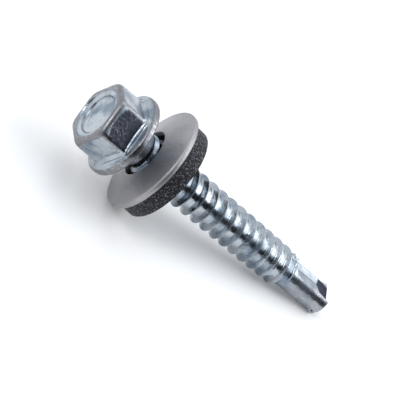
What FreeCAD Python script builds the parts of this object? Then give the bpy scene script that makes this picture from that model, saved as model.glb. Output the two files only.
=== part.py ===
import FreeCAD, Part
import Sketcher
import math
import os

# Self drilling screw with a hexagon flange head and a bonded sealing washer.
# Each piece is drawn in its own frame: Z runs along its axis from the head to the drill point, Z = 0 is the
# flange's bearing face on the screw and the sealing face on the washer, and +X points to one cutting lip.
# The pieces are then laid down as the screw comes to rest: on the washer's rim and on the drill point, with
# a flute downwards. The point is towards +X, and the origin is under the middle of the whole part.

SIZES = (
    # alias, value in millimetres or degrees, what it is
    ("across_flats", 8.0, "hexagon, flat to flat"),
    ("head_height", 5.2, "bearing face to the top of the hexagon"),
    ("head_edge_round", 0.5, "round along the top rim of the hexagon"),
    ("hex_corner_round", 0.3, "round along the six upright corners"),
    ("dish_rim", 0.55, "width of the rim between the flats and the dish"),
    ("dish_wall", 0.5, "width of the dish's sloping wall"),
    ("dish_step", 0.45, "width of the step between wall and floor"),
    ("dish_step_depth", 0.4, "depth of the step"),
    ("dish_depth", 0.72, "depth of the floor"),
    ("flange_diameter", 11.0, "flange forged under the hexagon"),
    ("flange_rim_height", 0.92, "upright rim of the flange"),
    ("flange_cone_angle", 15.6, "slope of the flange's upper side"),
    ("flange_rim_round", 0.3, "round along both edges of the rim"),
    ("neck_diameter", 4.7, "plain neck, as wide as the blank before rolling"),
    ("neck_length", 2.3, "bearing face to the first trace of thread"),
    ("neck_round", 0.4, "fillet under the flange"),
    ("thread_diameter", 5.52, "across the thread crests"),
    ("thread_end_diameter", 5.36, "across the last full crest"),
    ("core_diameter", 4.16, "across the thread roots"),
    ("thread_pitch", 1.8, "one turn of the thread"),
    ("thread_angle", 60.0, "angle between the two flanks"),
    ("crest_width", 0.13, "flat left on the crest"),
    ("thread_phase", 1.747, "bearing face to the helix's first crest, which lies at +X inside the neck"),
    ("run_in", 1.3, "length over which the first crest grows"),
    ("thread_length", 28.9, "bearing face to the last full crest"),
    ("run_out", 1.5, "length over which the last crest fades"),
    ("drill_diameter", 4.15, "body of the drill point"),
    ("drill_length", 9.75, "last full crest to the very tip"),
    ("lip_stand", 0.225, "how far each cutting lip stands out from the drill body"),
    ("lip_flare_length", 1.1, "length over which each wing swells to its lip"),
    ("lip_land", 0.15, "length of the full-width end of each wing"),
    ("lip_width", 0.9, "wing's width round the drill body"),
    ("point_angle", 110.0, "angle of the drill's tip"),
    ("flute_setback", 1.0, "last full crest to where the flutes begin"),
    ("flute_run", 0.8, "length over which a flute reaches its depth"),
    ("flute_root_radius", 1.37, "root of a flute from the axis"),
    ("flute_root_turn", 22.0, "root's turn ahead of the lip"),
    ("flute_land_turn", 81.0, "flute's far edge ahead of the lip"),
    ("flute_widening", 12.0, "how much further round that edge lies at the tip"),
    ("web_radius", 0.2, "half the web left at the tip"),
    ("point_notch_length", 3.5, "length over which the flutes deepen to the web"),
    ("washer_diameter", 14.5, "metal washer's rim"),
    ("washer_clearance", 1.02, "metal washer's hole, wider than the thread by this"),
    ("washer_thickness", 0.7, "metal washer's plate"),
    ("washer_dome", 1.05, "rise of the plate from rim to hole"),
    ("washer_rim_round", 0.2, "round along the rim"),
    ("washer_overhang", 0.65, "metal washer's rim beyond the rubber"),
    ("seal_clearance", 1.5, "rubber ring's hole, wider than the thread by this"),
    ("seal_height", 2.4, "rubber below the washer's rim"),
    ("seal_round", 0.25, "round along the rubber's lower edge"),
    ("washer_place", 7.3, "bearing face to the sealing face, along the axis"),
    ("washer_grip", 3.6, "height above the sealing face of the point that the washer leans about"),
    ("washer_tilt", 7.5, "washer's lean on the screw"),
    ("lean_turn", -60.0, "side of the washer that leans towards the head, from +X about the axis"),
)


def fill_sheet(doc):
    """Writes the driving sizes into a sheet, one alias a row."""
    sheet = doc.addObject("Spreadsheet::Sheet", "sizes")
    for row, (alias, value, words) in enumerate(SIZES, start=1):
        sheet.set(f"A{row}", words)
        sheet.set(f"B{row}", str(value))
        sheet.setAlias(f"B{row}", alias)
    doc.recompute()
    return sheet


ORIGIN = -1  # a sketch's own origin, in its constraints
START = 1  # the starting point of a line
END = 2  # the end point of a line
OUTSIDE = 6.0  # how many times its length a flute's wall is carried past the skin
SUNK = 0.25  # how far joined shapes reach into each other
PAST = 1.0  # how far a cutter reaches past the face that it opens

TIP = "(<thread_length> + <drill_length>)"
CONE = "tan(<point_angle> / 2 * 1deg)"
LIP_RADIUS = "(<drill_diameter> / 2 + <lip_stand>)"
RIDGE_FOOT = f"(<core_diameter> / 2 - {SUNK})"
WASHER_BORE = "(<thread_diameter> / 2 + <washer_clearance> / 2)"
SEAL_BORE = "(<thread_diameter> / 2 + <seal_clearance> / 2)"
SEAL_RIM = "(<washer_diameter> / 2 - <washer_overhang>)"


def cells(text):
    """Turns <alias> marks in an expression into references to the sheet."""
    return text.replace("<", "sizes.").replace(">", "")


def plane_of(body, role):
    """Finds one of a body's own origin planes by its role."""
    for feature in body.Origin.OriginFeatures:
        if feature.Role == role:
            return feature
    raise RuntimeError(f"{body.Name} has no {role}")


def attach(body, name, role="XZ_Plane", height=None):
    """Makes a sketch on one of a body's origin planes, at a height along Z where one is given."""
    sketch = body.newObject("Sketcher::SketchObject", name)
    sketch.AttachmentSupport = [(plane_of(body, role), "")]
    sketch.MapMode = "FlatFace"
    if height:
        sketch.setExpression("AttachmentOffset.Base.z", cells(height))
    return sketch


def polygon(sketch, corners):
    """Draws a closed polygon whose corners are held by pairs of expressions in the sheet's sizes."""
    texts = [(cells(across), cells(along)) for across, along in corners]
    points = [
        FreeCAD.Vector(float(sketch.evalExpression(across)), float(sketch.evalExpression(along)), 0)
        for across, along in texts
    ]
    count = len(points)
    for index in range(count):
        sketch.addGeometry(Part.LineSegment(points[index], points[(index + 1) % count]), False)
    for index in range(count):
        sketch.addConstraint(Sketcher.Constraint("Coincident", index, END, (index + 1) % count, START))
    for index, (point, text) in enumerate(zip(points, texts)):
        for kind, value, expression in zip(("DistanceX", "DistanceY"), (point.x, point.y), text):
            number = sketch.addConstraint(Sketcher.Constraint(kind, ORIGIN, START, index, START, value))
            sketch.setExpression(f"Constraints[{number}]", expression)


def turned(body, name, corners, kind="PartDesign::Revolution"):
    """Revolves a profile of (radius, height) corners about the body's own axis."""
    sketch = attach(body, name + "_profile")
    polygon(sketch, corners)
    feature = body.newObject(kind, name)
    feature.Profile = sketch
    feature.ReferenceAxis = (sketch, ["V_Axis"])
    feature.Angle = 360
    body.Document.recompute()
    return feature


def edges_where(feature, test):
    """Names the edges of a feature whose two ends and middle all pass a test of radius and height."""
    names = []
    for index, edge in enumerate(feature.Shape.Edges, start=1):
        low, high = edge.ParameterRange
        points = [edge.valueAt(low + (high - low) * share) for share in (0.0, 0.5, 1.0)]
        if all(test(math.hypot(point.x, point.y), point.z) for point in points):
            names.append(f"Edge{index}")
    return names


def rings_at(feature, rim):
    """Names the circular edges of a feature at one radius."""
    names = edges_where(feature, lambda radius, height: near(radius, rim))
    return [name for name in names if feature.Shape.getElement(name).Curve.TypeId == "Part::GeomCircle"]


def rounded(body, name, base, names, radius):
    """Rounds the named edges of a feature by a radius kept in the sheet."""
    if not names:
        raise RuntimeError(f"{name} found no edge")
    fillet = body.newObject("PartDesign::Fillet", name)
    fillet.Base = (base, names)
    fillet.setExpression("Radius", cells(radius))
    body.Document.recompute()
    return fillet


def near(value, target):
    """Says whether two lengths are the same to a hundredth of a millimetre."""
    return abs(value - target) < 0.01


def polar(radius, turn):
    """Gives the pair of expressions for a point at a radius and a turn in degrees."""
    return (f"({radius}) * cos(({turn}) * 1deg)", f"({radius}) * sin(({turn}) * 1deg)")


def beyond(root, corner, factor):
    """Carries the line from a root point through a corner on, to a multiple of its length."""
    return tuple(f"({start}) + {factor} * (({end}) - ({start}))" for start, end in zip(root, corner))


def make_hexagon(doc, size):
    """The hexagon above the flange, with rounded corners and crown and the dish forged into its top."""
    body = doc.addObject("PartDesign::Body", "hexagon")
    outline = attach(body, "hexagon_outline", "XY_Plane", "-<head_height>")
    polygon(outline, [polar("<across_flats> / 2 / cos(30deg)", 60 * index) for index in range(6)])
    prism = body.newObject("PartDesign::Pad", "prism")
    prism.Profile = outline
    prism.setExpression("Length", cells("<head_height> - <flange_rim_height> / 2"))
    doc.recompute()
    corner = size("across_flats") / 2 / math.cos(math.radians(30))
    uprights = edges_where(prism, lambda radius, height: near(radius, corner))
    prism = rounded(body, "upright_rounds", prism, uprights, "<hex_corner_round>")
    crown = edges_where(prism, lambda radius, height: near(height, -size("head_height")))
    rounded(body, "crown_round", prism, crown, "<head_edge_round>")
    mouth = "(<across_flats> / 2 - <dish_rim>)"
    turned(body, "dish", (
        ("0", f"-<head_height> - {PAST}"),
        (mouth, f"-<head_height> - {PAST}"),
        (mouth, "-<head_height>"),
        (f"{mouth} - <dish_wall>", "-<head_height> + <dish_step_depth>"),
        (f"{mouth} - <dish_wall> - <dish_step>", "-<head_height> + <dish_depth>"),
        ("0", "-<head_height> + <dish_depth>"),
    ), "PartDesign::Groove")
    return body


def make_shank(doc, size):
    """The round parts in one turned piece: flange, neck, core, drill body and cone."""
    body = doc.addObject("PartDesign::Body", "shank")
    inside = f"(<across_flats> / 2 - {PAST})"
    cone_top = f"-<flange_rim_height> - (<flange_diameter> / 2 - {inside}) * tan(<flange_cone_angle> * 1deg)"
    shank = turned(body, "flange_to_tip", (
        ("0", cone_top),
        (inside, cone_top),
        ("<flange_diameter> / 2", "-<flange_rim_height>"),
        ("<flange_diameter> / 2", "0"),
        ("<neck_diameter> / 2", "0"),
        ("<neck_diameter> / 2", "<neck_length>"),
        ("<core_diameter> / 2", "<neck_length> + <run_in>"),
        ("<core_diameter> / 2", "<thread_length>"),
        ("<drill_diameter> / 2", "<thread_length> + <run_out>"),
        ("<drill_diameter> / 2", f"{TIP} - <drill_diameter> / 2 / {CONE}"),
        ("0", TIP),
    ))
    rims = rings_at(shank, size("flange_diameter") / 2)
    shank = rounded(body, "flange_rounds", shank, rims, "<flange_rim_round>")
    neck = size("neck_diameter") / 2
    corner = edges_where(shank, lambda radius, height: near(radius, neck) and near(height, 0))
    rounded(body, "neck_fillet", shank, corner, "<neck_round>")
    return body


def make_thread(doc, size):
    """The rolled ridge: a trapezium carried along a helix, with its crest cut down at both ends."""
    body = doc.addObject("PartDesign::Body", "ridge")
    sketch = attach(body, "ridge_profile")
    crest = "<crest_width> / 2"
    foot = f"({crest} + (<thread_diameter> / 2 - {RIDGE_FOOT}) * tan(<thread_angle> / 2 * 1deg))"
    polygon(sketch, (
        (RIDGE_FOOT, f"<thread_phase> - {foot}"),
        ("<thread_diameter> / 2", f"<thread_phase> - {crest}"),
        ("<thread_diameter> / 2", f"<thread_phase> + {crest}"),
        (RIDGE_FOOT, f"<thread_phase> + {foot}"),
    ))
    helix = body.newObject("PartDesign::AdditiveHelix", "ridge_helix")
    helix.Profile = sketch
    helix.ReferenceAxis = (sketch, ["V_Axis"])
    helix.Mode = "pitch-height-angle"
    helix.setExpression("Pitch", "sizes.thread_pitch")
    helix.setExpression("Height", cells("<thread_length> + <run_out>"))
    helix.LeftHanded = False
    helix.Reversed = False
    doc.recompute()
    envelope = doc.addObject("PartDesign::Body", "envelope")
    turned(envelope, "crest_limits", (
        ("0", f"<neck_length> - {SUNK}"),
        (f"<neck_diameter> / 2 - {SUNK}", f"<neck_length> - {SUNK}"),
        ("<thread_diameter> / 2", "<neck_length> + <run_in>"),
        ("<thread_diameter> / 2", "<thread_length> - 3 * <thread_pitch>"),
        ("<thread_end_diameter> / 2", "<thread_length>"),
        (RIDGE_FOOT, "<thread_length> + <run_out>"),
        ("0", "<thread_length> + <run_out>"),
    ))
    thread = doc.addObject("Part::Common", "thread")
    thread.Base = body
    thread.Tool = envelope
    doc.recompute()
    return thread


def turned_about(turn):
    """A placement that only turns a shape about Z, by degrees."""
    return FreeCAD.Placement(FreeCAD.Vector(), FreeCAD.Rotation(FreeCAD.Vector(0, 0, 1), turn))


def make_wing(doc, name, turn):
    """The swelling of one cutting lip: a slice, behind the lip, of a ring that swells towards the tip."""
    ring = doc.addObject("PartDesign::Body", name + "_ring")
    shoulder = f"{TIP} - {LIP_RADIUS} / {CONE}"
    inside = "<core_diameter> / 4"
    turned(ring, name + "_swelling", (
        (inside, f"{shoulder} - <lip_flare_length>"),
        (f"<drill_diameter> / 2 - {SUNK}", f"{shoulder} - <lip_flare_length>"),
        (LIP_RADIUS, f"{shoulder} - <lip_land>"),
        (LIP_RADIUS, shoulder),
        (inside, f"{TIP} - {inside} / {CONE}"),
    ))
    behind_lip = doc.addObject("Part::Box", name + "_slice")
    behind_lip.setExpression("Length", cells("<drill_diameter>"))
    behind_lip.setExpression("Width", cells("<lip_width>"))
    behind_lip.setExpression("Height", cells(TIP))
    behind_lip.setExpression("Placement.Base.y", cells("-<lip_width>"))
    wing = doc.addObject("Part::Common", name)
    wing.Base = ring
    wing.Tool = behind_lip
    wing.Placement = turned_about(turn)
    return wing


def make_flute(doc, name, turn):
    """One flute's cutter: a ruled loft of V sections, from outside the body down to the web at the tip."""
    root = polar("<flute_root_radius>", "<flute_root_turn>")
    lip = polar("<drill_diameter> / 2", "0")
    land = polar("<drill_diameter> / 2", "<flute_land_turn>")
    lift = polar(f"<drill_diameter> / 2 - <flute_root_radius> + {SUNK}", "<flute_land_turn> / 2")
    web = polar("<web_radius>", "0")
    tip_lip = polar(LIP_RADIUS, "0")
    tip_land = polar(LIP_RADIUS, "<flute_land_turn> + <flute_widening>")
    start = "<thread_length> + <flute_setback>"
    sections = (
        (start, root, lip, land, lift),
        (f"{start} + <flute_run>", root, lip, land, None),
        (f"{TIP} - <point_notch_length>", root, lip, land, None),
        (f"{TIP} + {SUNK}", web, tip_lip, tip_land, None),
    )
    loft = doc.addObject("Part::Loft", name)
    sketches = []
    for index, (height, inner, first, second, shift) in enumerate(sections):
        sketch = doc.addObject("Sketcher::SketchObject", f"{name}_section_{index}")
        sketch.setExpression("Placement.Base.z", cells(height))
        outer = [inner, beyond(inner, first, OUTSIDE), beyond(inner, second, OUTSIDE)]
        if shift:
            outer = [tuple(f"{value} + {step}" for value, step in zip(corner, shift)) for corner in outer]
        polygon(sketch, outer)
        sketches.append(sketch)
    doc.recompute()
    loft.Sections = sketches
    loft.Solid = True
    loft.Ruled = True
    loft.Placement = turned_about(turn)
    doc.recompute()
    return loft


def make_screw(doc, size):
    """Joins hexagon, shank, thread and wings, and cuts the two flutes."""
    hexagon = make_hexagon(doc, size)
    shank = make_shank(doc, size)
    thread = make_thread(doc, size)
    wings = [make_wing(doc, f"wing_{index}", 180 * index) for index in range(2)]
    joined = doc.addObject("Part::MultiFuse", "joined")
    joined.Shapes = [hexagon, shank, thread] + wings
    doc.recompute()
    flutes = doc.addObject("Part::MultiFuse", "flutes")
    flutes.Shapes = [make_flute(doc, f"flute_{index}", 180 * index) for index in range(2)]
    doc.recompute()
    screw = doc.addObject("Part::Cut", "screw")
    screw.Base = joined
    screw.Tool = flutes
    screw.Label = "screw"
    doc.recompute()
    return screw


def make_washer(doc, size):
    """The metal washer: a plate that rises from its rim to its hole."""
    body = doc.addObject("PartDesign::Body", "metal_washer")
    body.Label = "metal_washer"
    plate = turned(body, "plate", (
        (WASHER_BORE, "-<seal_height> - <washer_dome>"),
        ("<washer_diameter> / 2", "-<seal_height>"),
        ("<washer_diameter> / 2", "-<seal_height> - <washer_thickness>"),
        (WASHER_BORE, "-<seal_height> - <washer_dome> - <washer_thickness>"),
    ))
    rounded(body, "rim_rounds", plate, rings_at(plate, size("washer_diameter") / 2), "<washer_rim_round>")
    return body


def make_seal(doc, size):
    """The rubber ring: flat below, and bonded to the underside of the metal washer above."""
    body = doc.addObject("PartDesign::Body", "rubber_seal")
    body.Label = "rubber_seal"
    slope = f"<washer_dome> / (<washer_diameter> / 2 - {WASHER_BORE})"
    ring = turned(body, "ring", (
        (SEAL_BORE, "0"),
        (SEAL_RIM, "0"),
        (SEAL_RIM, f"-<seal_height> - (<washer_diameter> / 2 - {SEAL_RIM}) * {slope}"),
        (SEAL_BORE, f"-<seal_height> - (<washer_diameter> / 2 - {SEAL_BORE}) * {slope}"),
    ))
    edge = size("washer_diameter") / 2 - size("washer_overhang")
    lower = edges_where(ring, lambda radius, height: near(radius, edge) and near(height, 0))
    rounded(body, "seal_edge", ring, lower, "<seal_round>")
    return body


def across(turn):
    """A unit vector square to the axis, at a turn in degrees from +X."""
    return FreeCAD.Vector(math.cos(math.radians(turn)), math.sin(math.radians(turn)), 0)


def washer_lean(size):
    """The washer's place in the screw's frame: held at the metal's hole, and leaning."""
    grip = FreeCAD.Vector(0, 0, size("washer_place") - size("washer_grip"))
    lean = FreeCAD.Rotation(across(size("lean_turn") + 90), size("washer_tilt"))
    seal = FreeCAD.Placement(FreeCAD.Vector(0, 0, size("washer_grip")), FreeCAD.Rotation())
    return FreeCAD.Placement(grip, lean).multiply(seal)


def tip_supports(size):
    """The two corners that the drill point lies on, one each side of a flute: a lip and the land's edge."""
    tip = size("thread_length") + size("drill_length")
    cone = math.tan(math.radians(size("point_angle") / 2))
    body = size("drill_diameter") / 2
    lip = body + size("lip_stand")
    land_turn = size("flute_land_turn") + size("flute_widening") / 2
    axis = FreeCAD.Vector(0, 0, 1)
    return across(0) * lip + axis * (tip - lip / cone), across(land_turn) * body + axis * (tip - body / cone)


def rim_reach(size, down):
    """How far the washer's rim reaches in a direction given in the screw's frame."""
    lean = washer_lean(size)
    middle = lean.multVec(FreeCAD.Vector(0, 0, -size("seal_height") - size("washer_rim_round")))
    normal = lean.Rotation.multVec(FreeCAD.Vector(0, 0, 1))
    flat = down - normal * down.dot(normal)
    return middle.dot(down) + size("washer_diameter") / 2 * flat.Length


def resting_turn(size):
    """The turn that lays the screw on the washer's rim and, with a flute downwards, on the drill point.

    The dip of the axis is halved in on until rim and point reach equally far down, with both corners of the
    point level.
    """
    lip, land = tip_supports(size)
    chord = land - lip
    square = math.atan2(-chord.x, chord.y)
    level, steep = 0.0, math.pi / 4
    for _ in range(50):
        dip = (level + steep) / 2
        roll = math.asin(math.tan(dip) * chord.z / math.hypot(chord.x, chord.y))
        below = across(math.degrees(square - roll))
        down = below * math.cos(dip) + FreeCAD.Vector(0, 0, math.sin(dip))
        if max(lip.dot(down), land.dot(down)) < rim_reach(size, down):
            level = dip
        else:
            steep = dip
    along = FreeCAD.Vector(math.cos(dip), 0, -math.sin(dip))
    upper = FreeCAD.Vector(math.sin(dip), 0, math.cos(dip))
    laid = FreeCAD.Rotation(upper, FreeCAD.Vector(0, -1, 0), along, "ZXY")
    upper_turn = math.degrees(math.atan2(-below.y, -below.x))
    return laid.multiply(FreeCAD.Rotation(FreeCAD.Vector(0, 0, 1), -upper_turn))


def lay_down(pieces, size):
    """Turns the pieces to rest, then brings the middle of their underside to the origin."""
    turn = FreeCAD.Placement(FreeCAD.Vector(), resting_turn(size))
    lean = washer_lean(size)
    places = {name: turn if name == "screw" else turn.multiply(lean) for name in pieces}
    box = FreeCAD.BoundBox()
    for name, piece in pieces.items():
        shape = piece.Shape.copy()
        shape.Placement = places[name]
        box.add(shape.optimalBoundingBox(False, False))
    shift = FreeCAD.Placement(FreeCAD.Vector(-box.Center.x, -box.Center.y, -box.ZMin), FreeCAD.Rotation())
    for name, piece in pieces.items():
        piece.Placement = shift.multiply(places[name])


def check(doc, pieces):
    """Stops unless every object computed and every piece is one valid solid."""
    for item in doc.Objects:
        if "Invalid" in item.State or "Error" in item.State:
            raise RuntimeError(f"{item.Name} failed: {item.State}")
    for name, piece in pieces.items():
        shape = piece.Shape
        if shape.isNull() or not shape.isValid() or len(shape.Solids) != 1:
            raise RuntimeError(f"{name} isn't one valid solid")


def main():
    """Builds the document and writes one file a piece."""
    doc = FreeCAD.newDocument("self_drilling_screw")
    sheet = fill_sheet(doc)

    def size(alias):
        return float(getattr(sheet, alias))

    pieces = {
        "screw": make_screw(doc, size),
        "metal_washer": make_washer(doc, size),
        "rubber_seal": make_seal(doc, size),
    }
    lay_down(pieces, size)
    doc.recompute()
    check(doc, pieces)
    os.makedirs("parts", exist_ok=True)
    for name, piece in pieces.items():
        piece.Shape.exportStep(f"parts/{name}.step")
        print(f"{name}: volume {piece.Shape.Volume:.3f} mm3, faces {len(piece.Shape.Faces)}")


main()
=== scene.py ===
import logging
import math
from dataclasses import dataclass
from enum import Enum

import bmesh
import bpy
import numpy as np
from mathutils import Matrix, Vector


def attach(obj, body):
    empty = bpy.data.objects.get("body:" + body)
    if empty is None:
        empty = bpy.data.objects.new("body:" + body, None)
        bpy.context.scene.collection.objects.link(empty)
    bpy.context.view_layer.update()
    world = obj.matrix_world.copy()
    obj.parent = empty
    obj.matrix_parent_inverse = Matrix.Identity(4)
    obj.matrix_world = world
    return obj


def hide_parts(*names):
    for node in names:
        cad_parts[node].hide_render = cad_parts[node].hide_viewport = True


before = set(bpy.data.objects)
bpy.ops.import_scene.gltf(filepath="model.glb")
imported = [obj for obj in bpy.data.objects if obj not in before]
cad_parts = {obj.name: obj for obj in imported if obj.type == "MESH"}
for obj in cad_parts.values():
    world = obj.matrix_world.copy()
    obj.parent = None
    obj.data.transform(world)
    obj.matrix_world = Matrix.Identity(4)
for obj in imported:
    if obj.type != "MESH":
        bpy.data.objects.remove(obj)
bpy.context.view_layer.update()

LOG = logging.getLogger("self_drilling_screw")

Grid = np.ndarray
Pair = tuple[float, float]
Triple = tuple[float, float, float]
Row = tuple[np.ndarray, np.ndarray]
Socket = bpy.types.NodeSocket

MM = 0.001
WHITE = (1.0, 1.0, 1.0)
WELD = 0.002  # millimetres within which a mesh's points become one
SHARP_ANGLE = 42.0  # degrees from which an edge is shaded sharp

# Degrees from each corner of the hexagon at which the screw's mesh has a column.
CORNER_STEPS = (-3.6, -1.2, 0.0, 1.2, 3.6)
# Degrees past each cutting lip, by the lip, the flute's root, its far edge and the wing's end.
FLUTE_STEPS = (0.4, 1.0, 2.2, 20.5, 22.0, 23.5, 79.8, 81.0, 82.2, 156.0, 157.0)
# Millimetres either side of the thread's crest at which there is a row.
RIDGE_STEPS = (0.0, 0.03, 0.065, 0.10, 0.17, 0.26, 0.36, 0.43, 0.49, 0.56, 0.68, 0.80)
# The dish's floor with its two shallow rings, as (radius, depth).
DISH_FLOOR = ((0.0, 0.78), (0.6, 0.77), (1.10, 0.75), (1.22, 0.72), (1.34, 0.74), (1.65, 0.73), (1.77, 0.69),
              (1.89, 0.72), (2.05, 0.71))
# The dish's rounded bends from floor to step, along the step, to the wall and over the rim: the start, the
# corner and the end as (radius, depth), and a count of points.
DISH_BENDS = (
    ((2.25, 0.69), (2.52, 0.66), (2.62, 0.50), 5),
    ((2.66, 0.42), (2.72, 0.36), (2.86, 0.34), 4),
    ((3.08, 0.32), (3.22, 0.30), (3.30, 0.20), 4),
    ((3.38, 0.08), (3.44, 0.0), (3.52, 0.0), 4),
)
# Shallow folds on the flange's upper side: the share of the way to its rim, and the depth.
FLANGE_FOLDS = ((0.08, 0.0), (0.16, 0.05), (0.24, 0.06), (0.34, 0.0), (0.6, 0.0), (0.85, 0.0))
# Burrs at the thread's end: height, angle in degrees, and how far they stand out.
BURRS = ((29.3, 204.0, 0.42), (29.9, 212.0, 0.45), (30.3, 199.0, 0.34), (29.6, 191.0, 0.28),
         (29.5, 232.0, 0.2))


class Mark(Enum):
    """Values kept on the mesh that tell the finish where a place is worn and where shade is painted on it."""

    WORN = "worn"
    # Painted shade and a painted dark reflection, with a faint speck everywhere else.
    SHADE_AND_SPECK = "shade_and_speck"


@dataclass(frozen=True)
class Seat:
    """Where a piece's own frame sits in the row frame: its origin in millimetres and its three axes."""

    origin: Triple
    x_axis: Triple
    y_axis: Triple
    z_axis: Triple

    def points(self, own: Grid) -> Grid:
        """Moves points from the piece's frame to the row frame.

        Args:
            own: coordinates in millimetres, the last axis being x, y, z.

        Returns:
            The same points in metres in the row frame.
        """
        axes = np.array([self.x_axis, self.y_axis, self.z_axis])
        return (own @ axes + np.array(self.origin)) * MM


SCREW_SEAT = Seat(
    origin=(-16.1325762, 0.0999877, 7.9616141),
    x_axis=(-0.1195756, -0.7202884, -0.6832908),
    y_axis=(-0.1241633, 0.6936747, -0.7095061),
    z_axis=(0.9850305, 0.0, -0.1723799),
)
WASHER_SEAT = Seat(
    origin=(-8.9497576, -0.3515263, 6.836739),
    x_axis=(-0.184066, -0.7161782, -0.6732077),
    y_axis=(-0.0124627, 0.6865556, -0.7269705),
    z_axis=(0.9828349, -0.1254205, -0.135297),
)


def ease(share: Grid) -> Grid:
    """Goes smoothly from 0 to 1 with a share, level at both ends and beyond them."""
    share = np.clip(share, 0.0, 1.0)
    return share * share * (3.0 - 2.0 * share)


def soft_max(first: Grid, second: Grid, width: float) -> Grid:
    """Takes the larger of two values.

    Args:
        first: one value.
        second: the other value.
        width: the difference over which their meeting is rounded.

    Returns:
        The larger value, or a little more where the two are close.
    """
    gap = np.clip(0.5 + 0.5 * (first - second) / width, 0.0, 1.0)
    return second + (first - second) * gap + width * gap * (1.0 - gap)


def soft_min(first: Grid, second: Grid, width: float) -> Grid:
    """Takes the smaller of two values, with their meeting rounded over a width, as soft_max does."""
    return -soft_max(-first, -second, width)


def arc(start: Pair, corner: Pair, end: Pair, count: int) -> list[Pair]:
    """Rounds a corner.

    Args:
        start: where the curve leaves the first line.
        corner: where the two lines would meet.
        end: where the curve joins the second line.
        count: number of points.

    Returns:
        Points of the quadratic curve from start to end that leans on the corner.
    """
    share = np.linspace(0.0, 1.0, count)[:, None]
    back = 1.0 - share
    curve = back**2 * np.array(start) + 2.0 * share * back * np.array(corner) + share**2 * np.array(end)
    return [tuple(point) for point in curve]


def ripple(x: Grid, y: Grid, z: Grid, size: float, seed: int) -> Grid:
    """Gives a surface a gentle unevenness.

    Args:
        x: first coordinate in millimetres.
        y: second coordinate.
        z: third coordinate.
        size: about one wavelength, in millimetres.
        seed: number that fixes the random directions.

    Returns:
        The mean of six slanting sine waves, between -1 and 1.
    """
    rng = np.random.default_rng(seed)
    total = np.zeros(np.broadcast(x, y, z).shape)
    for _ in range(6):
        way = rng.normal(size=3)
        way *= 2.0 * math.pi / size / np.linalg.norm(way) * rng.uniform(0.7, 1.4)
        total = total + np.sin(way[0] * x + way[1] * y + way[2] * z + rng.uniform(0.0, 6.28))
    return total / 6.0


def grid_object(name: str, own: Grid, seat: Seat, marks: dict[str, Grid] | None = None) -> bpy.types.Object:
    """Makes one closed mesh from a grid of points whose last column repeats the first.

    Args:
        name: name of the new object.
        own: rows by columns by 3 coordinates in millimetres, in the piece's frame.
        seat: where that frame sits.
        marks: values from 0 to 1 for the grid's points, by name, which the finish reads.

    Returns:
        The object, at the origin of the row frame, with its seam and poles closed.
    """
    rows, columns = own.shape[:2]
    index = np.arange(rows * columns).reshape(rows, columns)
    corners = [index[:-1, :-1], index[:-1, 1:], index[1:, 1:], index[1:, :-1]]
    quads = np.stack(corners, axis=-1).reshape(-1, 4)
    mesh = bpy.data.meshes.new(name)
    mesh.from_pydata(seat.points(own).reshape(-1, 3).tolist(), [], quads.tolist())
    for key, values in (marks or {}).items():
        layer = mesh.attributes.new(key, "FLOAT", "POINT")
        layer.data.foreach_set("value", values.astype(np.float32).ravel())
    shape = bmesh.new()
    shape.from_mesh(mesh)
    bmesh.ops.remove_doubles(shape, verts=shape.verts, dist=WELD * MM)
    bmesh.ops.dissolve_degenerate(shape, edges=shape.edges, dist=WELD * MM)
    bmesh.ops.recalc_face_normals(shape, faces=shape.faces)
    shape.to_mesh(mesh)
    shape.free()
    mesh.polygons.foreach_set("use_smooth", np.ones(len(mesh.polygons), dtype=bool))
    mesh.set_sharp_from_angle(angle=math.radians(SHARP_ANGLE))
    mesh.update()
    piece = bpy.data.objects.new(name, mesh)
    bpy.context.scene.collection.objects.link(piece)
    LOG.info("%s: %d vertices, %d faces", name, len(mesh.vertices), len(mesh.polygons))
    return piece


def dress(piece: bpy.types.Object, material: bpy.types.Material, solid: str, body: str) -> None:
    """Gives a piece its finish and its place in the part.

    Args:
        piece: the visible piece.
        material: its finish.
        solid: name of the solid that it is shown in place of.
        body: the body that it moves with.
    """
    piece.data.materials.append(material)
    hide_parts(solid)
    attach(piece, body)


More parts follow.
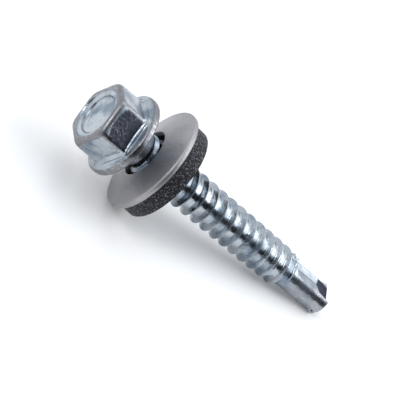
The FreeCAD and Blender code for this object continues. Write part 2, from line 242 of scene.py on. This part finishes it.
class Nodes:
    """A short way to write a material's or the world's node tree."""

    def __init__(self, tree: bpy.types.NodeTree) -> None:
        """Clears the tree and keeps it."""
        tree.nodes.clear()
        self.tree = tree

    def add(self, kind: str, inputs: dict | None = None, **settings: object) -> bpy.types.Node:
        """Adds one node.

        Args:
            kind: the node's type name.
            inputs: socket name or number to a constant, or to another node's output socket.
            settings: the node's own properties.

        Returns:
            The new node.
        """
        node = self.tree.nodes.new(kind)
        for key, value in settings.items():
            setattr(node, key, value)
        for key, value in (inputs or {}).items():
            if isinstance(value, bpy.types.NodeSocket):
                self.tree.links.new(value, node.inputs[key])
            else:
                node.inputs[key].default_value = value
        return node

    def math(self, operation: str, first: object, second: object, clamp: bool = False) -> Socket:
        """Works out one sum of two values, each a number or a socket, and returns its output."""
        node = self.add("ShaderNodeMath", {0: first, 1: second}, operation=operation, use_clamp=clamp)
        return node.outputs[0]

    def noise(self, where: Socket, scale: float, detail: float = 3.0) -> Socket:
        """Makes noise from 0 to 1 at a scale in waves a metre, and returns its value."""
        node = self.add("ShaderNodeTexNoise", {"Vector": where, "Scale": scale, "Detail": detail})
        return node.outputs["Fac"]

    def step(self, value: Socket, span: Pair, low: float = 0.0, high: float = 1.0) -> Socket:
        """Goes from low to high as a value crosses a span, and returns its output."""
        node = self.add("ShaderNodeMapRange", {"Value": value, "From Min": span[0], "From Max": span[1],
                                               "To Min": low, "To Max": high})
        return node.outputs[0]

    def mix(self, share: Socket, first: Socket, second: Triple) -> Socket:
        """Goes from a colour socket to a constant colour by a share, and returns its colour."""
        node = self.add("ShaderNodeMix", {0: share}, data_type="RGBA")
        self.tree.links.new(first, node.inputs[6])
        node.inputs[7].default_value = (*second, 1.0)
        return node.outputs[2]

    def ramp(self, value: Socket, stops: list[tuple[float, Triple]]) -> Socket:
        """Makes a colour ramp of (place, colour) stops, and returns its colour."""
        node = self.add("ShaderNodeValToRGB", {0: value})
        while len(node.color_ramp.elements) < len(stops):
            node.color_ramp.elements.new(0.5)
        for element, (place, colour) in zip(node.color_ramp.elements, stops):
            element.position = place
            element.color = (*colour, 1.0)
        return node.outputs[0]


@dataclass(frozen=True)
class ZincPlate:
    """Bright zinc plate over steel: a cool metal, slightly uneven, with duller patches and fine pits, and
    painted shade where the mesh's shade mark is set.

    Scales are in waves a metre. A span is a pair of noise values between which an effect grows.
    """

    name: str
    light: Triple = (0.475, 0.52, 0.56)
    dull: Triple = (0.22, 0.275, 0.335)
    rubbed: Triple = (0.245, 0.24, 0.248)
    # Near-black colour for painted shade and a painted dark reflection, and for the fine pits.
    shade_and_pits: Triple = (0.044, 0.046, 0.064)
    light_rough: float = 0.15
    dull_rough: float = 0.30
    rubbed_rough: float = 0.12
    shade_and_pits_rough: float = 0.15
    patch_scale: float = 420.0
    patch_span: Pair = (0.36, 0.56)
    patch_rough_span: Pair = (0.35, 0.62)
    grain_scale: float = 2600.0
    rub_span: Pair = (0.18, 0.54)
    fine_scale: float = 7000.0
    fine_span: Pair = (0.66, 0.40)
    fine_share: float = 0.16
    scuff_span: Pair = (0.54, 0.70)
    scuff_share: float = 0.22
    pit_span: Pair = (0.60, 0.70)
    pit_share: float = 0.42
    bump: float = 0.00007

    def build(self) -> bpy.types.Material:
        """Makes the material; its pattern follows the piece's own coordinates and the mesh's marks."""
        material = bpy.data.materials.new(self.name)
        material.use_nodes = True
        nodes = Nodes(material.node_tree)
        where = nodes.add("ShaderNodeTexCoord").outputs["Object"]
        patch = nodes.noise(where, self.patch_scale, 4.0)
        grain = nodes.noise(where, self.grain_scale)
        fine = nodes.noise(where, self.fine_scale)
        worn = nodes.add("ShaderNodeAttribute", attribute_name=Mark.WORN.value).outputs["Fac"]
        shade_and_speck = nodes.add("ShaderNodeAttribute", attribute_name=Mark.SHADE_AND_SPECK.value).outputs["Fac"]
        rub = nodes.math("MULTIPLY", worn, nodes.step(grain, self.rub_span), clamp=True)
        speckled = nodes.step(fine, self.fine_span, 1.0 - self.fine_share, 1.0)
        cover = nodes.math("SUBTRACT", speckled, nodes.step(grain, self.scuff_span, 0.0, self.scuff_share))
        pits = nodes.step(fine, self.pit_span, 0.0, self.pit_share)
        # Share of the near-black colour: painted shade from the mesh's shade mark, laid through the speckle,
        # plus fine pits everywhere.
        speck = nodes.math("ADD", nodes.math("MULTIPLY", shade_and_speck, cover), pits, clamp=True)
        colour = nodes.ramp(patch, [(self.patch_span[0], self.dull), (self.patch_span[1], self.light)])
        colour = nodes.mix(rub, colour, self.rubbed)
        colour = nodes.mix(speck, colour, self.shade_and_pits)
        rough = nodes.step(patch, self.patch_rough_span, self.dull_rough, self.light_rough)
        rough = nodes.math("ADD", rough, nodes.math("MULTIPLY", rub, self.rubbed_rough))
        rough = nodes.math("ADD", rough, nodes.math("MULTIPLY", speck, self.shade_and_pits_rough))
        bump = nodes.add("ShaderNodeBump", {"Height": grain, "Strength": 0.5, "Distance": self.bump}).outputs[0]
        shader = nodes.add("ShaderNodeBsdfPrincipled", {"Base Color": colour, "Metallic": 1.0,
                                                        "Roughness": rough, "Normal": bump}).outputs[0]
        nodes.add("ShaderNodeOutputMaterial", {"Surface": shader})
        return material


@dataclass(frozen=True)
class Rubber:
    """Charcoal rubber with fine light specks of dust."""

    name: str
    dark: Triple = (0.010, 0.010, 0.014)
    speck: Triple = (0.22, 0.225, 0.26)
    speck_span: Pair = (0.53, 0.74)
    speck_scale: float = 5200.0
    rough: float = 0.62
    gloss: float = 0.3
    bump: float = 0.00006

    def build(self) -> bpy.types.Material:
        """Makes the material; its pattern follows the piece's own coordinates."""
        material = bpy.data.materials.new(self.name)
        material.use_nodes = True
        nodes = Nodes(material.node_tree)
        where = nodes.add("ShaderNodeTexCoord").outputs["Object"]
        fine = nodes.noise(where, self.speck_scale, 2.0)
        colour = nodes.ramp(fine, [(self.speck_span[0], self.dark), (self.speck_span[1], self.speck)])
        bump = nodes.add("ShaderNodeBump", {"Height": fine, "Strength": 0.6, "Distance": self.bump}).outputs[0]
        shader = nodes.add("ShaderNodeBsdfPrincipled", {"Base Color": colour, "Roughness": self.rough,
                                                        "Specular IOR Level": self.gloss,
                                                        "Normal": bump}).outputs[0]
        nodes.add("ShaderNodeOutputMaterial", {"Surface": shader})
        return material


@dataclass
class Fastener:
    """The screw in one closed skin: dished hexagon, flange, neck, rolled thread and drill point.

    Lengths are in millimetres from the flange's bearing face, positive towards the point. Angles are in
    degrees about the axis, from one cutting lip.
    """

    flats: float = 8.0
    head_top: float = -5.2
    corner_reach: float = 4.64
    corner_round: float = 0.75
    crown_round: float = 0.6
    crown_radius: float = 3.78
    crown_depth: float = 1.45
    crown_blend: float = 0.20
    dish_reach: float = 3.54
    head_fillet: float = 0.3
    flange_radius: float = 5.5
    flange_rim: float = 0.92
    flange_slope: float = 15.6
    rim_round: float = 0.30
    neck_radius: float = 2.35
    neck_end: float = 2.3
    core_radius: float = 2.08
    crest_radius: float = 2.76
    end_crest_radius: float = 2.68
    pitch: float = 1.8
    phase: float = 1.747
    crest_half: float = 0.065
    flank_angle: float = 30.0
    seam_depth: float = 0.035
    seam_half: float = 0.05
    run_in: float = 1.3
    taper: float = 5.4
    thread_end: float = 28.9
    run_out: float = 1.5
    drill_radius: float = 2.075
    lip_stand: float = 0.225
    lip_land: float = 0.15
    flare: float = 1.1
    tip: float = 38.65
    point_half_angle: float = 55.0
    flute_start: float = 29.9
    flute_run: float = 0.8
    root_radius: float = 1.37
    root_turn: float = 22.0
    land_turn: float = 81.0
    land_turn_end: float = 93.0
    web: float = 0.2
    notch_start: float = 35.15
    notch_drop: float = 0.3
    notch_past: float = 0.25
    lip_width: float = 0.9
    wing_radius: float = 2.25
    thread_from: float = 2.05
    thread_to: float = 32.0
    columns: int = 132

    def turns(self) -> Grid:
        """Gives the columns' angles in radians over a whole turn: even ones, and more by corners and flutes."""
        even = np.linspace(0.0, 360.0, self.columns + 1)
        corners = np.array([60.0 * k + step for k in range(7) for step in CORNER_STEPS])
        flutes = np.array([half + step for half in (0.0, 180.0) for step in FLUTE_STEPS])
        every = np.unique(np.round(np.concatenate([even, corners, flutes]), 3))
        return np.radians(every[(every >= 0.0) & (every <= 360.0)])

    def level(self, line: list[Pair]) -> list[Row]:
        """Turns (radius, height) points into rows that keep both all the way round."""
        ones = np.ones_like(self.turns())
        return [(radius * ones, height * ones) for radius, height in line]

    def hexagon(self, inset: float) -> Grid:
        """Gives the hexagon's radius at each column, drawn in by an inset, with rounded corners."""
        turns = self.turns()
        side = (turns + math.pi / 6) % (math.pi / 3) - math.pi / 6
        bend = max(self.corner_round - inset, 0.02)
        centre = (self.flats / 2 - inset - bend) / math.cos(math.pi / 6)
        flat = (self.flats / 2 - inset) / np.cos(np.abs(side) - math.pi / 6)
        within = np.clip(bend**2 - (centre * np.sin(side)) ** 2, 0.0, None)
        rounded = centre * np.cos(side) + np.sqrt(within)
        limit = math.atan2(bend * 0.5, centre + bend * math.cos(math.pi / 6))
        return np.where(np.abs(side) < limit, rounded, flat)

    def crown(self, radius: Grid, depth: float) -> Grid:
        """Cuts the hexagon's corners back near its top, as a round crown does.

        Args:
            radius: the hexagon's radius at each column.
            depth: how far below the head's top the row lies.

        Returns:
            The radius left by the crown.
        """
        share = min(depth / self.crown_depth, 1.0)
        swell = math.sqrt(1.0 - (1.0 - share) ** 2)
        limit = self.crown_radius + (self.corner_reach - self.crown_radius) * swell
        return soft_min(radius, limit * np.ones_like(radius), self.crown_blend)

    def cone(self, radius: Grid) -> Grid:
        """Gives the height of the flange's conical top at a radius."""
        return -self.flange_rim - (self.flange_radius - radius) * math.tan(math.radians(self.flange_slope))

    def dish_rows(self) -> list[Row]:
        """Makes the dish's rows, from its middle to its rim."""
        line = [(radius, self.head_top + depth) for radius, depth in DISH_FLOOR]
        for *bend, count in DISH_BENDS:
            line += arc(*[(radius, self.head_top + depth) for radius, depth in bend], count)
        return self.level(line)

    def hexagon_rows(self) -> list[Row]:
        """Makes the rows over the crown, down the hexagon's sides and out over the fillet at its foot."""
        ones = np.ones_like(self.turns())
        rows = []
        for angle in np.linspace(0.15, math.pi / 2, 8):
            inset = self.crown_round * (1.0 - math.sin(angle))
            depth = self.crown_round * (1.0 - math.cos(angle))
            radius = np.maximum(self.crown(self.hexagon(inset), depth), self.dish_reach)
            rows.append((radius, (self.head_top + depth) * ones))
        wall = self.hexagon(0.0)
        depths = (0.7, 0.82, 0.96, 1.12, 1.3)
        rows += [(self.crown(wall, depth), (self.head_top + depth) * ones) for depth in depths]
        low = self.head_top + depths[-1]
        base = self.cone(wall) - self.head_fillet
        rows += [(wall, low + (base - low) * share) for share in (0.25, 0.5, 0.75, 0.92)]
        foot = self.hexagon_foot()
        for share in np.linspace(0.0, 1.0, 6):
            back = 1.0 - share
            radius = back**2 * wall + 2.0 * share * back * wall + share**2 * foot
            height = back**2 * base + 2.0 * share * back * self.cone(wall) + share**2 * self.cone(foot)
            rows.append((radius, height))
        return rows

    def hexagon_foot(self) -> Grid:
        """Gives the radius at each column where the fillet at the hexagon's foot meets the flange."""
        return np.minimum(self.hexagon(0.0) + self.head_fillet * 1.2, self.flange_radius - 0.42)

    def flange_rows(self) -> list[Row]:
        """Makes the rows over the flange's top and rounded rim, across its bearing face and down the neck."""
        foot = self.hexagon_foot()
        brim = self.flange_radius - self.rim_round
        rows = []
        for share, fold in FLANGE_FOLDS:
            radius = foot + (brim - foot) * share
            rows.append((radius, self.cone(radius) - fold))
        line = arc((brim, float(self.cone(brim))), (self.flange_radius, float(self.cone(self.flange_radius))),
                   (self.flange_radius, -self.flange_rim + 0.26), 7)
        line += arc((self.flange_radius, -0.34), (self.flange_radius, 0.0), (brim, 0.0), 7)
        line += [(4.6, 0.0), (3.8, 0.0), (3.1, 0.0)]
        line += arc((self.neck_radius + 0.4, 0.0), (self.neck_radius, 0.0), (self.neck_radius, 0.4), 6)
        line += [(self.neck_radius, height) for height in (0.9, 1.4, 1.8)]
        return rows + self.level(line)

    def thread_radius(self, turns: Grid, heights: Grid) -> Grid:
        """Gives the radius of neck, core and rolled ridge.

        The ridge is a trapezium with rounded feet whose middle climbs one pitch a turn. A limit that grows from
        the neck and fades past the last crest cuts it down at both ends.

        Args:
            turns: angles in radians.
            heights: heights in millimetres.

        Returns:
            The radius at each of them.
        """
        climb = (heights - self.phase) / self.pitch - turns / (2.0 * math.pi)
        off = np.abs(climb - np.round(climb)) * self.pitch
        slope = math.tan(math.radians(self.flank_angle))
        ridge = self.crest_radius - np.maximum(off - self.crest_half, 0.0) / slope
        seam = self.seam_depth * np.exp(-((off / self.seam_half) ** 2))
        grow = (heights - self.neck_end) / self.run_in
        full = self.neck_end + self.run_in
        faded = self.thread_end + self.run_out
        neck, core = self.neck_radius, self.core_radius
        low = np.interp(heights, [0.0, self.neck_end, full, self.thread_end, faded],
                        [neck, neck, core, core, self.drill_radius])
        limit = np.interp(heights,
                          [self.neck_end - 0.25, full, self.thread_end - self.taper, self.thread_end, faded],
                          [2.1, self.crest_radius, self.crest_radius, self.end_crest_radius, 1.83])
        ridge = soft_min(ridge - seam * np.clip(grow, 0.0, 1.0), limit, 0.03)
        return soft_max(ridge, low, 0.10)

    def deepening(self, heights: Grid) -> Grid:
        """Gives how far the flutes have run in to the web, from 0 where the notch starts to 1 past the tip."""
        length = self.tip + self.notch_past - self.notch_start
        return np.clip((heights - self.notch_start) / length, 0.0, 1.0)

    def root(self, heights: Grid) -> tuple[Grid, Grid]:
        """Gives where a flute's root lies; the notch drops it sharply to the rake face.

        Args:
            heights: heights in millimetres.

        Returns:
            The root's place along its lip, and ahead of it.
        """
        deep = self.deepening(heights)
        drop = 1.0 - 0.8 * ease((heights - self.notch_start) / self.notch_drop)
        start = math.radians(self.root_turn)
        along = self.root_radius * math.cos(start) * (1 - deep) + self.web * deep
        return along, self.root_radius * math.sin(start) * (1 - deep) * drop

    def flute_radius(self, turns: Grid, heights: Grid) -> Grid:
        """Gives how far out the metal reaches in the two V flutes.

        Each flute has a root line and two walls. The root lifts out at the start, and runs in to the web at
        the tip.

        Args:
            turns: angles in radians.
            heights: heights in millimetres.

        Returns:
            The radius at each of them, and a huge one where no flute cuts.
        """
        lip_side_from, land_side_to = -0.9, 2.6
        deep = self.deepening(heights)
        lifted = np.clip(1.0 - (heights - self.flute_start) / self.flute_run, 0.0, 3.0)
        half = math.radians(self.land_turn / 2)
        out = self.drill_radius - self.root_radius + 0.25
        rim = self.drill_radius + self.lip_stand * deep
        root_x, root_y = self.root(heights)
        start_x = root_x + out * math.cos(half) * lifted
        start_y = root_y + out * math.sin(half) * lifted
        bend = np.arctan2(start_y, start_x)
        land = np.radians(self.land_turn + (self.land_turn_end - self.land_turn) * deep)
        reach = np.full(np.broadcast(turns, heights).shape, 99.0)
        for flip in (0.0, math.pi):
            around = (turns - flip + math.pi) % (2 * math.pi) - math.pi
            lip_side = (around <= bend) & (around > lip_side_from)
            land_side = (around >= bend) & (around < land_side_to)
            walls = ((lip_side, rim, np.zeros_like(rim)), (land_side, rim * np.cos(land), rim * np.sin(land)))
            for mine, end_x, end_y in walls:
                run_x, run_y = end_x - root_x, end_y - root_y
                across = np.cos(around) * run_y - np.sin(around) * run_x
                along = start_x * run_y - start_y * run_x
                with np.errstate(divide="ignore", invalid="ignore"):
                    hit = along / across
                reach = np.where(mine & (hit > 0.02), np.minimum(reach, hit), reach)
        return reach

    def shoulder(self) -> float:
        """Gives the height where the tip's cone begins, at the lips' full width."""
        return self.tip - (self.drill_radius + self.lip_stand) / math.tan(math.radians(self.point_half_angle))

    def body_radius(self, turns: Grid, heights: Grid) -> Grid:
        """Gives the radius before the flutes are cut: thread or drill body, the two wings, and the tip's cone.

        Args:
            turns: angles in radians.
            heights: heights in millimetres.

        Returns:
            The radius at each of them.
        """
        body = self.thread_radius(turns, heights)
        slope = math.tan(math.radians(self.point_half_angle))
        swollen = np.clip((heights - self.shoulder() + self.flare) / (self.flare - self.lip_land), 0.0, 1.0)
        behind = -((turns + math.pi / 2) % math.pi - math.pi / 2)
        wing = (behind > -1e-4) & (behind < math.asin(self.lip_width / self.wing_radius))
        body = np.where(heights > self.thread_to - 0.5, self.drill_radius, body)
        body = body + np.where(wing, self.lip_stand * swollen, 0.0)
        return np.minimum(body, np.maximum((self.tip - heights) * slope, 0.0))

    def shank_rows(self) -> Grid:
        """Makes helical rows for the thread, which follow its crest and are cut off level at both ends."""
        turns = self.turns()
        half = np.array(RIDGE_STEPS)
        steps = np.concatenate([-half[:0:-1], half, [self.pitch / 2]])
        first = math.floor((self.thread_from - self.phase) / self.pitch) - 1
        last = math.ceil((self.thread_to - self.phase) / self.pitch) + 1
        starts = np.concatenate([self.phase + self.pitch * k + steps for k in range(first, last)])
        heights = starts[:, None] + self.pitch * turns[None, :] / (2.0 * math.pi)
        heights = np.clip(heights, self.thread_from, self.thread_to)
        return self.skin(np.broadcast_to(turns, heights.shape), heights)

    def point_rows(self) -> Grid:
        """Makes level rows for the drill point, whose columns move with the flutes' roots and edges."""
        shoulder = self.shoulder()
        dropped = self.notch_start + self.notch_drop
        levels = np.concatenate([
            np.linspace(self.thread_to, self.notch_start, 14)[1:],
            np.linspace(self.notch_start, dropped, 6)[1:],
            np.linspace(dropped, shoulder - 0.02, 18)[1:],
            np.linspace(shoulder, self.tip, 26),
        ])
        deep = self.deepening(levels)
        root_x, root_y = self.root(levels)
        root = np.maximum(np.degrees(np.arctan2(root_y, root_x)), 1.4)
        land = self.land_turn + (self.land_turn_end - self.land_turn) * deep
        near = 2.2 * np.clip(root / self.root_turn, 0.1, 1.0)
        even = np.degrees(self.turns())
        knots = np.array([0.0, 2.2, self.root_turn, self.land_turn])
        knots = np.concatenate([knots, 180.0 + knots, [360.0]])
        turns = np.stack([
            np.interp(even, knots, [0.0, n, r, w, 180.0, 180.0 + n, 180.0 + r, 180.0 + w, 360.0])
            for n, r, w in zip(near, root, land)
        ])
        return self.skin(np.radians(turns), np.broadcast_to(levels[:, None], turns.shape))

    def skin(self, turns: Grid, heights: Grid) -> Grid:
        """Gives the shank's surface, with the small dents of rolling and forging and the burrs.

        Args:
            turns: angles in radians.
            heights: heights in millimetres.

        Returns:
            Points in the screw's own frame.
        """
        dent_depth, dent_size, burr_height, burr_turn = 0.014, 1.1, 0.22, 0.13
        radius = np.minimum(self.body_radius(turns, heights), self.flute_radius(turns, heights))
        x, y = radius * np.cos(turns), radius * np.sin(turns)
        dent = dent_depth * ripple(x, y, heights, dent_size, 5) * np.clip(radius, 0.0, 1.0)
        burr = np.zeros_like(radius)
        for height, turn, size in BURRS:
            aside = ((heights - height) / burr_height) ** 2 + ((turns - math.radians(turn)) / burr_turn) ** 2
            burr = burr + size * np.exp(-aside)
        scale = 1.0 - (np.abs(dent) - burr) / np.maximum(radius, 0.2)
        return np.stack([x * scale, y * scale, heights], axis=-1)

    def worn(self, radius: Grid, turn: Grid, height: Grid) -> Grid:
        """Marks what is rubbed: the crown, the flange's rim, the hexagon's edges, the crests and the lands.

        Args:
            radius: radius of each point.
            turn: its angle in degrees.
            height: its height.

        Returns:
            Values from 0 to 1.
        """
        crown = (height < self.head_top + 0.62) & (radius > 3.42)
        rim = (radius > self.flange_radius - 0.25) & (height < 0.5)
        edge = np.abs((turn + 30.0) % 60.0 - 30.0) < 3.0
        edge &= (height < -1.6) & (radius > 4.3)
        crest = np.clip((radius - self.crest_radius + 0.06) / 0.05, 0.0, 1.0) * (height > 2.0)
        land = np.clip((height - self.flute_start) / 2.0, 0.0, 1.0) * (radius > self.drill_radius - 0.1)
        head = np.where(crown | rim, 1.0, np.where(edge, 0.8, 0.0))
        return np.maximum.reduce([head, 0.6 * crest, 0.55 * land])

    def shade_and_speck(self, radius: Grid, turn: Grid, height: Grid) -> Grid:
        """Marks painted shade: a dark reflection on one side of the hexagon, two shaded rings in the dish, and
        the shaded rake faces, with a faint speck everywhere else.

        Args:
            radius: radius of each point.
            turn: its angle in degrees.
            height: its height.

        Returns:
            Values from 0 up. At 1 the painted shade lies in patches, and past 1 it closes over.
        """
        # Strength of the painted shade on the rake faces, and of the faint speck everywhere else.
        rake_shade, plain_speck = 1.4, 0.08
        # Painted dark reflection on the hexagon's face at -90 degrees below the crown, under an arched top
        # edge; at 1 it lies as patchy speckle.
        aside = np.abs(turn + 90.0)
        depth = height - self.head_top - 0.62 - 0.66 * (aside / 30.0) ** 2
        side = np.clip((28.6 - aside) / 2.4, 0.0, 1.0) * np.clip(depth / 0.14, 0.0, 1.0)
        side *= (height < -1.45) & (radius > 3.7)
        # Painted shade in the dish: dark rings on the inner step's wall and on the dish's outer wall.
        step_shade = 0.55 * np.exp(-(((radius - 2.66) / 0.09) ** 2))
        wall_shade = 0.5 * np.exp(-(((radius - 3.33) / 0.07) ** 2))
        rings = (step_shade + wall_shade) * (height < self.head_top + 0.8)
        # Painted shade on the rake faces, from each cutting lip to its flute's root, near the tip.
        along, ahead = self.root(height)
        past_lip = turn % 180.0
        rake = (past_lip > 0.25) & (past_lip < np.degrees(np.arctan2(ahead, along)) + 0.4)
        rake &= (height > self.notch_start + 0.2) & (height < self.tip - 0.1)
        return np.maximum.reduce([side, rings, np.where(rake, rake_shade, plain_speck)])

    def marks(self, rows: Grid) -> dict[str, Grid]:
        """Works out the marks that the finish reads, for every point of the skin."""
        where = (np.hypot(rows[..., 0], rows[..., 1]), np.degrees(np.arctan2(rows[..., 1], rows[..., 0])),
                 rows[..., 2])
        return {Mark.WORN.value: self.worn(*where), Mark.SHADE_AND_SPECK.value: self.shade_and_speck(*where)}

    def build(self) -> bpy.types.Object:
        """Makes the skin from its head, thread and point rows, and puts it in the screw's place."""
        turns = self.turns()
        outline = self.dish_rows() + self.hexagon_rows() + self.flange_rows()
        head = np.stack([np.stack([r * np.cos(turns), r * np.sin(turns), h], axis=-1) for r, h in outline])
        rows = np.concatenate([head, self.shank_rows(), self.point_rows()])
        piece = grid_object("screw_skin", rows, SCREW_SEAT, self.marks(rows))
        dress(piece, ZincPlate("zinc_screw").build(), "screw", "screw")
        return piece


@dataclass
class SealingWasher:
    """The two bonded rings: a sheet-metal washer that rises to its hole, and the rubber under it.

    Lengths are in millimetres from the rubber's sealing face, negative towards the head.
    """

    radius: float = 7.25
    bore: float = 3.27
    thick: float = 0.7
    dome: float = 1.05
    bore_round: float = 0.16
    seal_radius: float = 6.6
    seal_bore: float = 3.51
    seal_height: float = 2.4
    columns: int = 192

    def under(self, radius: float) -> float:
        """Gives the height of the metal's underside, which is also the rubber's top, at a radius."""
        return -self.seal_height - (self.radius - radius) * self.dome / (self.radius - self.bore)

    def top(self, radius: float) -> float:
        """Gives the height of the metal's top at a radius."""
        return self.under(radius) - self.thick

    def revolved(self, name: str, profile: list[Pair], uneven: float, seed: int) -> bpy.types.Object:
        """Turns a closed profile about the washer's axis.

        Args:
            name: name of the new object.
            profile: (radius, height) points.
            uneven: how far the surface is drawn in at most, in millimetres.
            seed: number that fixes the unevenness.

        Returns:
            The object.
        """
        turns = np.linspace(0.0, 2.0 * math.pi, self.columns + 1)
        line = np.array(profile + profile[:1])
        x = line[:, :1] * np.cos(turns)
        y = line[:, :1] * np.sin(turns)
        z = np.broadcast_to(line[:, 1:], x.shape)
        pull = 1.0 - uneven * (0.5 + 0.5 * ripple(x, y, z, 2.6, seed)) / np.maximum(np.hypot(x, y), 1.0)
        return grid_object(name, np.stack([x * pull, y * pull, z], axis=-1), WASHER_SEAT)

    def plate(self) -> bpy.types.Object:
        """Makes the metal washer, with a rounded rim and an edge turned slightly by punching at its hole."""
        low = -self.seal_height
        inner = self.bore + self.bore_round
        profile = arc((self.bore, self.top(self.bore) + self.bore_round), (self.bore, self.top(self.bore)),
                      (inner, self.top(inner)), 5)
        profile += [(radius, self.top(radius)) for radius in np.linspace(self.bore + 0.5, self.radius - 0.5, 9)]
        outer = self.radius - 0.24
        profile += arc((outer, self.top(outer)), (self.radius, self.top(self.radius)),
                       (self.radius, low - self.thick + 0.26), 7)
        below = self.radius - 0.2
        profile += arc((self.radius, low - 0.24), (self.radius, low), (below, self.under(below)), 6)
        profile += [(radius, self.under(radius)) for radius in np.linspace(self.radius - 0.6, self.bore, 6)]
        piece = self.revolved("washer_plate", profile, 0.02, 11)
        finish = ZincPlate("zinc_washer", light=(0.39, 0.38, 0.395), dull=(0.33, 0.335, 0.35), light_rough=0.46,
                           dull_rough=0.54, patch_scale=160.0)
        dress(piece, finish.build(), "metal_washer", "sealing_washer")
        return piece

    def seal(self) -> bpy.types.Object:
        """Makes the rubber ring, with a rounded lower edge and a straight, slightly uneven side."""
        side = self.seal_radius
        profile = [(self.seal_bore, 0.0), (4.2, 0.0), (5.0, 0.0), (5.8, 0.0)]
        profile += arc((side - 0.28, 0.0), (side, 0.0), (side, -0.28), 6)
        profile += [(side, -0.8), (side, -1.3), (side, -1.8)]
        profile += arc((side, -2.3), (side, self.under(side)), (side - 0.1, self.under(side - 0.1)), 4)
        profile += [(radius, self.under(radius)) for radius in (5.6, 4.6, self.seal_bore)]
        piece = self.revolved("rubber_ring", profile, 0.03, 3)
        dress(piece, Rubber("charcoal_rubber").build(), "rubber_seal", "sealing_washer")
        return piece


@dataclass(frozen=True)
class Lamp:
    """One round softbox that faces the object.

    Its way is the direction towards it from the object, its gap and size are in metres, and its power in watts.
    """

    name: str
    way: Triple
    gap: float
    size: float
    power: float
    colour: Triple = WHITE

    def build(self) -> None:
        """Hangs the softbox."""
        light = bpy.data.lights.new(self.name, "AREA")
        light.shape = "DISK"
        light.size = self.size
        light.energy = self.power
        light.color = self.colour
        holder = bpy.data.objects.new(self.name, light)
        place = Vector(self.way).normalized() * self.gap
        holder.matrix_world = Matrix.Translation(place) @ place.to_track_quat("Z", "Y").to_matrix().to_4x4()
        bpy.context.scene.collection.objects.link(holder)


@dataclass
class Studio:
    """A pale floor under a soft sky with softboxes, and the photograph's camera.

    The camera's distances are in millimetres and its angles in degrees. It aims at a place on the screw's axis.
    """

    floor_half: float = 2.5
    floor_tone: float = 0.90
    floor_glow: float = 0.14
    camera_lens: float = 122.5
    camera_sensor: float = 36.0
    slant: float = 31.3
    facing: float = -80.2
    roll: float = 40.0
    distance: float = 167.35
    aim: float = 13.3
    aside: float = 0.0392
    sky_stops: tuple = ((0.18, (0.012, 0.013, 0.018)), (0.235, (0.14, 0.16, 0.20)), (0.31, (0.60, 0.65, 0.72)),
                        (0.60, (0.92, 0.95, 1.0)))
    lamps: tuple = (
        Lamp("key", (0.66, -0.06, 0.75), 0.55, 0.50, 1.1),
        Lamp("flute", (0.70, 0.43, 0.57), 0.6, 0.26, 0.16),
        Lamp("head_side", (-0.75, -0.2, 0.62), 0.6, 0.25, 0.8, (1.0, 0.99, 0.97)),
        Lamp("over", (0.0, 0.5, 0.86), 0.7, 0.5, 0.7),
    )

    def floor(self) -> None:
        """Lays the floor at the height that the object rests on."""
        half = self.floor_half
        mesh = bpy.data.meshes.new("floor")
        corners = [(-half, -half, 0), (half, -half, 0), (half, half, 0), (-half, half, 0)]
        mesh.from_pydata(corners, [], [(0, 1, 2, 3)])
        ground = bpy.data.objects.new("floor", mesh)
        bpy.context.scene.collection.objects.link(ground)
        material = bpy.data.materials.new("pale_floor")
        material.use_nodes = True
        nodes = Nodes(material.node_tree)
        tone = (self.floor_tone,) * 3 + (1.0,)
        shader = nodes.add("ShaderNodeBsdfPrincipled", {"Base Color": tone, "Roughness": 0.9,
                                                        "Specular IOR Level": 0.1,
                                                        "Emission Color": (*WHITE, 1.0),
                                                        "Emission Strength": self.floor_glow}).outputs[0]
        nodes.add("ShaderNodeOutputMaterial", {"Surface": shader})
        mesh.materials.append(material)

    def sky(self) -> None:
        """Makes a sky that is bright on the far side and dark on the side of the camera."""
        world = bpy.data.worlds.new("studio")
        world.use_nodes = True
        nodes = Nodes(world.node_tree)
        way = nodes.add("ShaderNodeTexCoord").outputs["Generated"]
        far = nodes.add("ShaderNodeSeparateXYZ", {0: way}).outputs["Y"]
        share = nodes.math("ADD", nodes.math("MULTIPLY", far, 0.5), 0.5)
        tone = nodes.ramp(share, self.sky_stops)
        back = nodes.add("ShaderNodeBackground", {"Color": tone, "Strength": 1.0}).outputs[0]
        nodes.add("ShaderNodeOutputWorld", {"Surface": back})
        bpy.context.scene.world = world

    def camera(self) -> None:
        """Places the camera that the photograph was fitted with: its lens, distance, slant and roll."""
        axis = Vector(SCREW_SEAT.z_axis)
        facing = math.radians(self.facing)
        near = Vector(SCREW_SEAT.x_axis) * math.cos(facing) + Vector(SCREW_SEAT.y_axis) * math.sin(facing)
        side = axis.cross(near)
        slant = math.radians(self.slant)
        eye = (Vector(SCREW_SEAT.origin) + axis * (self.aim - self.distance * math.sin(slant))
               + near * (self.distance * math.cos(slant)) + side * self.aside)
        ahead = axis * math.sin(slant) - near * math.cos(slant)
        run = axis * math.cos(slant) + near * math.sin(slant)
        roll = math.radians(self.roll)
        right = run * math.cos(roll) - side * math.sin(roll)
        up = -(run * math.sin(roll) + side * math.cos(roll))
        lens = bpy.data.cameras.new("camera")
        lens.lens = self.camera_lens
        lens.sensor_width = self.camera_sensor
        lens.clip_start = 0.01
        lens.clip_end = 20.0
        holder = bpy.data.objects.new("camera", lens)
        turn = Matrix((right, up, -ahead)).transposed().to_4x4()
        holder.matrix_world = Matrix.Translation(eye * MM) @ turn
        bpy.context.scene.collection.objects.link(holder)
        bpy.context.scene.camera = holder

    def build(self) -> None:
        """Sets up everything round the object."""
        self.floor()
        self.sky()
        for lamp in self.lamps:
            lamp.build()
        self.camera()
        bpy.context.scene.view_settings.view_transform = "Standard"
        LOG.info("studio: floor, sky, %d lamps and camera", len(self.lamps))


def main() -> None:
    """Builds the pieces and the studio in order."""
    logging.basicConfig(level=logging.INFO, format="%(name)s %(message)s")
    Fastener().build()
    washer = SealingWasher()
    washer.plate()
    washer.seal()
    Studio().build()


if __name__ == "__main__":
    main()
